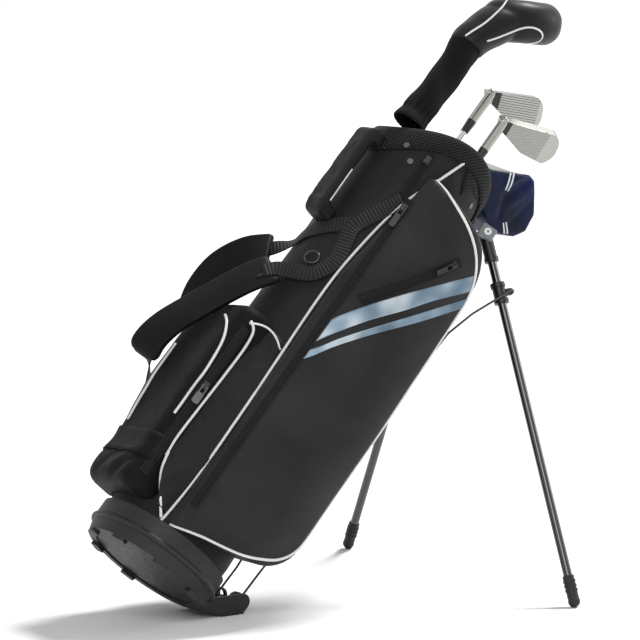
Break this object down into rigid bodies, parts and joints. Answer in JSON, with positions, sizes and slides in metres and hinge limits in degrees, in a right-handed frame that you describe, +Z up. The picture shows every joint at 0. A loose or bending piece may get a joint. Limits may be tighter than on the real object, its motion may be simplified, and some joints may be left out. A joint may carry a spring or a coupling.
{
  "type": "golf club set",
  "caption": "Junior stand bag leaning on two folding legs and a foot flap, holding a covered driver, irons and a covered putter.",
  "frame": {"origin": "middle of the foot flap's sole, on the ground", "axes": "+Z up; +X from the foot flap towards the two legs; +Y to the bag's far side, away from the big pocket"},
  "size_m": [0.7382, 0.514, 0.7795],
  "materials": {
    "fabric_black": "woven polyester, matt",
    "mesh_pad": "padded spacer mesh",
    "webbing": "ribbed webbing",
    "strap_foam": "padded fabric",
    "moulded_black": "matt moulded",
    "moulded_grey": "satin moulded",
    "boot_rubber": "matt rubber",
    "grip_rubber": "ribbed rubber",
    "leg_enamel": "gloss black",
    "spring_steel": "blackened wire",
    "bright_steel": "bright",
    "batten": "plain",
    "zip_tape": "zip tape with moulded teeth",
    "zip_metal": "satin black",
    "head_nickel": "satin nickel",
    "shaft_steel": "polished",
    "ferrule_black": "gloss",
    "cover_leather": "grained navy",
    "cover_black": "padded leatherette",
    "sock_knit": "ribbed knit",
    "driver_paint": "gloss"
  },
  "bodies": {
    "bag": {"bag_shell": "fabric_black", "top_cuff": "moulded_black", "collar_pad": "mesh_pad", "club_divider": "moulded_black", "stay_rods": "batten", "base_boot": "boot_rubber", "foot_pin": "bright_steel", "leg_bracket": "moulded_black", "bracket_caps": "moulded_grey", "pivot_rivets": "bright_steel", "apparel_pocket": "fabric_black", "far_pocket": "fabric_black", "ball_pocket": "fabric_black", "carry_handle": "fabric_black", "strap_pad_near": "strap_foam", "strap_pad_far": "strap_foam", "strap_webbing_near": "webbing", "strap_webbing_far": "webbing", "snaps": "bright_steel", "valuables_zip": "zip_tape", "main_zip": "zip_tape", "ball_zip": "zip_tape", "upper_zip": "zip_tape", "valuables_zip_slider": "zip_metal"},
    "foot_flap": {"foot_plate": "boot_rubber"},
    "leg_near": {"leg_tube_near": "leg_enamel", "leg_socket_near": "moulded_black", "leg_clip_near": "moulded_black", "leg_foot_near": "boot_rubber"},
    "leg_far": {"leg_tube_far": "leg_enamel", "leg_socket_far": "moulded_black", "leg_clip_far": "moulded_black", "leg_foot_far": "boot_rubber"},
    "rod_near": {"rod_near": "spring_steel"},
    "rod_far": {"rod_far": "spring_steel"},
    "iron_1": {"iron_1_head": "head_nickel", "iron_1_ferrule": "ferrule_black", "iron_1_shaft": "shaft_steel", "iron_1_grip": "grip_rubber"},
    "iron_2": {"iron_2_head": "head_nickel", "iron_2_ferrule": "ferrule_black", "iron_2_shaft": "shaft_steel", "iron_2_grip": "grip_rubber"},
    "driver": {"driver_head": "driver_paint", "driver_shaft": "shaft_steel", "driver_grip": "grip_rubber", "driver_cover_shell": "cover_black", "driver_cover_sock": "sock_knit"},
    "putter": {"putter_head": "head_nickel", "putter_shaft": "shaft_steel", "putter_grip": "grip_rubber"},
    "putter_cover": {"putter_cover": "cover_leather"},
    "main_zip_slider": {"main_zip_slider": "zip_metal"},
    "main_zip_pull": {"main_zip_pull": "zip_metal"},
    "ball_zip_slider": {"ball_zip_slider": "zip_metal"},
    "ball_zip_pull": {"ball_zip_pull": "zip_metal"},
    "upper_zip_slider": {"upper_zip_slider": "zip_metal"},
    "valuables_zip_pull": {"valuables_zip_pull": "zip_metal"}
  },
  "joints": [
    {"name": "leg_near_fold", "type": "hinge", "parent": "bag", "child": "leg_near", "pos_m": [0.39717, -0.048, 0.46788], "axis": [-0.4067, -0.8341, 0.3727], "range_deg": [-46.5, 0]},
    {"name": "leg_far_fold", "type": "hinge", "parent": "bag", "child": "leg_far", "pos_m": [0.39717, 0.048, 0.46788], "axis": [0.4067, -0.8341, -0.3727], "range_deg": [-46.5, 0]},
    {"name": "foot_flap_turn", "type": "hinge", "parent": "bag", "child": "foot_flap", "pos_m": [-0.044, 0, 0.019], "axis": [0, 1, 0], "range_deg": [0, 45.2]},
    {"name": "rod_near_turn", "type": "hinge", "parent": "leg_near", "child": "rod_near", "pos_m": [0.40937, -0.08653, 0.39497], "axis": [-0.4185, -0.8494, 0.3215], "range_deg": [0, 53.2]},
    {"name": "rod_far_turn", "type": "hinge", "parent": "leg_far", "child": "rod_far", "pos_m": [0.40937, 0.08653, 0.39497], "axis": [0.4185, -0.8494, -0.3215], "range_deg": [0, 53.2]},
    {"name": "driver_lift", "type": "slide", "parent": "bag", "child": "driver", "axis": [0.6756, 0, 0.7373], "range_m": [0, 0.6]},
    {"name": "iron_1_lift", "type": "slide", "parent": "bag", "child": "iron_1", "axis": [0.6756, 0, 0.7373], "range_m": [0, 0.6]},
    {"name": "iron_2_lift", "type": "slide", "parent": "bag", "child": "iron_2", "axis": [0.6756, 0, 0.7373], "range_m": [0, 0.6]},
    {"name": "putter_lift", "type": "slide", "parent": "bag", "child": "putter", "axis": [0.6756, 0, 0.7373], "range_m": [0, 0.6]},
    {"name": "putter_cover_off", "type": "slide", "parent": "putter", "child": "putter_cover", "axis": [0.9483, 0, -0.3173], "range_m": [0, 0.16]},
    {"name": "main_zip_run", "type": "slide", "parent": "bag", "child": "main_zip_slider", "axis": [0.6756, 0, 0.7373], "range_m": [-0.472, 0.008]},
    {"name": "main_zip_pull_swing", "type": "hinge", "parent": "main_zip_slider", "child": "main_zip_pull", "pos_m": [0.2274, -0.09229, 0.51494], "axis": [-0.5479, 0.6692, 0.502], "range_deg": [0, 120]},
    {"name": "ball_zip_run", "type": "slide", "parent": "bag", "child": "ball_zip_slider", "axis": [0.6756, 0, 0.7373], "range_m": [-0.128, 0.086]},
    {"name": "ball_zip_pull_swing", "type": "hinge", "parent": "ball_zip_slider", "child": "ball_zip_pull", "pos_m": [-0.04756, -0.04637, 0.30031], "axis": [-0.6682, 0.4226, 0.6123], "range_deg": [0, 120]},
    {"name": "upper_zip_run", "type": "slide", "parent": "bag", "child": "upper_zip_slider", "axis": [0.6756, 0, 0.7373], "range_m": [-0.054, 0.004]},
    {"name": "valuables_zip_pull_swing", "type": "hinge", "parent": "bag", "child": "valuables_zip_pull", "pos_m": [0.28072, -0.12988, 0.43956], "axis": [-0.2724, 0.0449, 0.9611], "range_deg": [0, 120]}
  ],
  "couplings": [
    {"joint": "leg_far_fold", "follows": "leg_near_fold", "ratio": 1},
    {"joint": "foot_flap_turn", "follows": "leg_near_fold", "ratio": -0.9706},
    {"joint": "rod_near_turn", "follows": "leg_near_fold", "ratio": -1.143},
    {"joint": "rod_far_turn", "follows": "leg_near_fold", "ratio": -1.143}
  ]
}
